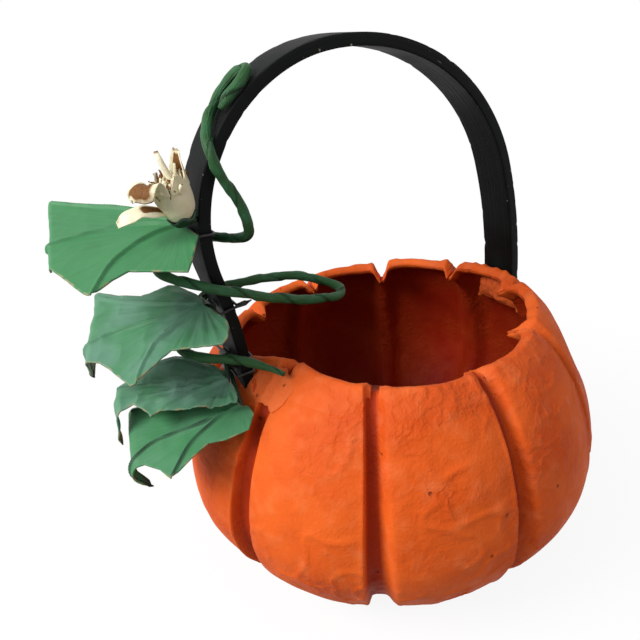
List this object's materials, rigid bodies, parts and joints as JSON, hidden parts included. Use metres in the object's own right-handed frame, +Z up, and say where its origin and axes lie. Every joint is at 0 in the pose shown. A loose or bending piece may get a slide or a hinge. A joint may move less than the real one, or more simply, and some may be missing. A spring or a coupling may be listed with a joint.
{
  "type": "pumpkin basket",
  "caption": "Open lobed pumpkin basket of papier-mache with a bentwood strap handle, a wound wire vine, hinged paper leaves and a paper blossom.",
  "frame": {"origin": "centre of the flat underside of the bowl", "axes": "+Z up, X along the handle's arch from the left foot at -X to the right foot at +X, -Y the front"},
  "size_m": [0.3098, 0.2596, 0.3122],
  "materials": {
    "orange_paper": "hand-brushed orange paint over pasted paper, darker in the grooves, red-brown inside",
    "patch_paper": "pasted paper pad, painted over in red-brown",
    "black_wood": "bentwood lath, satin black paint with rubbed edges",
    "vine_tape": "green paper tape wound in a spiral",
    "core_wire": "soft iron wire under paper",
    "leaf_paper": "stiff paper, brushed matt green, creased along the ribs",
    "leaf_stem": "wire stem, dark green paint",
    "tie_wire": "black annealed tie wire",
    "cream_paper": "cream paper, torn and curled, brown at the edges",
    "brown_paper": "shredded paper, brown"
  },
  "bodies": {
    "basket": {"bowl_shell": "orange_paper", "rim_strip_01": "orange_paper", "rim_strip_02": "orange_paper", "rim_strip_03": "orange_paper", "rim_strip_04": "orange_paper", "rim_strip_05": "orange_paper", "rim_strip_06": "orange_paper", "rim_strip_07": "orange_paper", "rim_strip_08": "orange_paper", "rim_strip_09": "orange_paper", "rim_strip_10": "orange_paper", "handle_strap": "black_wood", "handle_patch_left": "patch_paper", "handle_patch_right": "patch_paper", "vine_wrap": "vine_tape", "vine_wire": "core_wire", "leaf_1_tie": "tie_wire", "leaf_2_tie": "tie_wire", "leaf_3_tie": "tie_wire", "leaf_4_tie": "tie_wire", "blossom_cup": "cream_paper", "blossom_petal_back": "cream_paper", "blossom_petal_left": "cream_paper", "blossom_petal_front": "cream_paper", "blossom_petal_long": "cream_paper", "blossom_core": "brown_paper", "blossom_calyx": "vine_tape", "blossom_stem": "leaf_stem"},
    "leaf_1": {"leaf_1_blade": "leaf_paper", "leaf_1_ribs": "core_wire", "leaf_1_stem": "leaf_stem"},
    "leaf_2": {"leaf_2_blade": "leaf_paper", "leaf_2_ribs": "core_wire", "leaf_2_stem": "leaf_stem"},
    "leaf_3": {"leaf_3_blade": "leaf_paper", "leaf_3_ribs": "core_wire", "leaf_3_stem": "leaf_stem"},
    "leaf_4": {"leaf_4_blade": "leaf_paper", "leaf_4_ribs": "core_wire", "leaf_4_stem": "leaf_stem"}
  },
  "joints": [
    {"name": "leaf_1_swing", "type": "hinge", "parent": "basket", "child": "leaf_1", "pos_m": [-0.11232, 0, 0.23106], "axis": [0, 1, 0], "range_deg": [-12, 3]},
    {"name": "leaf_2_swing", "type": "hinge", "parent": "basket", "child": "leaf_2", "pos_m": [-0.10666, 0, 0.18808], "axis": [0, 1, 0], "range_deg": [-8, 8]},
    {"name": "leaf_3_swing", "type": "hinge", "parent": "basket", "child": "leaf_3", "pos_m": [-0.10269, 0, 0.15703], "axis": [0, 1, 0], "range_deg": [-3, 8]},
    {"name": "leaf_4_swing", "type": "hinge", "parent": "basket", "child": "leaf_4", "pos_m": [-0.10224, 0, 0.14922], "axis": [0, 1, 0], "range_deg": [-3, 3]}
  ]
}
